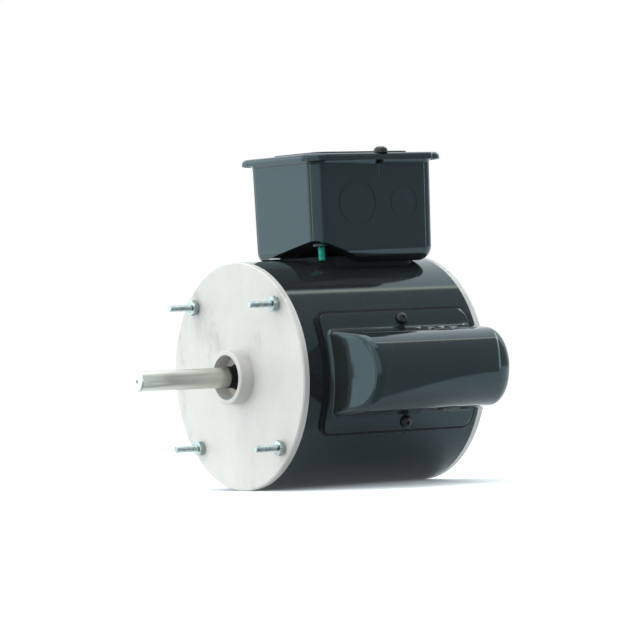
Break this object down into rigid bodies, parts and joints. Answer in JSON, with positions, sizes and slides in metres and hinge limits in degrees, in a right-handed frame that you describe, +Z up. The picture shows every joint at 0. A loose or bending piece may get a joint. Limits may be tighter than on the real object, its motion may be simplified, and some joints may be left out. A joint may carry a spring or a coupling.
{
  "type": "electric motor",
  "caption": "Round-bodied fan-duty electric motor with a plain shaft, mounting studs, a conduit box on top and a capacitor cover on its side.",
  "frame": {"origin": "on the shaft's axis, in the plane of the drive end bell's flat front face, at the root of the pilot collar", "axes": "+Y from the drive end towards the closed rear end, so the shaft points to -Y; +X towards the capacitor cover; +Z up towards the conduit box"},
  "size_m": [0.1875, 0.219, 0.2124],
  "materials": {
    "enamel_black": "gloss black enamel",
    "cast_aluminium": "smooth die-cast, lightly stained",
    "moulding_black": "moulded black plastic",
    "zinc_steel": "zinc plated",
    "screw_black": "black oxide with enamel",
    "shaft_steel": "ground steel",
    "rubber_black": "matt black rubber",
    "sintered_bronze": "oil-filled sintered bronze",
    "spring_steel": "pressed steel",
    "felt": "oiled felt",
    "phenolic": "brown phenolic",
    "lamination_steel": "stacked laminations",
    "enamelled_copper": "varnished copper wire",
    "liner_paper": "insulating paper",
    "ground_green": "green dyed zinc",
    "can_aluminium": "drawn aluminium",
    "tinned_brass": "tin plated",
    "foam_black": "closed-cell foam strip"
  },
  "bodies": {
    "frame": {"shell": "enamel_black", "conduit_box": "enamel_black", "conduit_box_lid": "enamel_black", "capacitor_cover": "enamel_black", "drive_end_bell": "cast_aluminium", "rear_end_bell": "cast_aluminium", "box_saddle": "moulding_black", "lead_bushing": "moulding_black", "through_bolts": "zinc_steel", "stud_washers": "zinc_steel", "stud_nuts": "zinc_steel", "box_screws": "zinc_steel", "lid_screws": "screw_black", "cover_screws": "screw_black", "capacitor_gasket": "rubber_black", "lid_gasket": "rubber_black", "lead_grommet": "rubber_black", "drive_bearing": "sintered_bronze", "rear_bearing": "sintered_bronze", "drive_bearing_clip": "spring_steel", "rear_bearing_clip": "spring_steel", "drive_bearing_cap": "spring_steel", "rear_bearing_cap": "spring_steel", "drive_oil_wick": "felt", "rear_oil_wick": "felt", "capacitor_top": "phenolic", "thermal_protector": "phenolic", "stator_core": "lamination_steel", "main_winding": "enamelled_copper", "start_winding": "enamelled_copper", "slot_liners": "liner_paper", "ground_screw": "ground_green", "capacitor_can": "can_aluminium", "capacitor_terminals": "tinned_brass", "capacitor_bed": "foam_black"},
    "rotor": {"shaft": "shaft_steel", "rotor_core": "lamination_steel", "rotor_cage": "cast_aluminium", "shaft_slinger": "rubber_black", "drive_thrust_washer": "phenolic", "rear_thrust_washer": "phenolic", "drive_oil_thrower": "spring_steel", "rear_oil_thrower": "spring_steel"}
  },
  "joints": [
    {"name": "rotor_spin", "type": "hinge", "parent": "frame", "child": "rotor", "pos_m": [0, 0, 0], "axis": [0, -1, 0], "continuous": true}
  ]
}
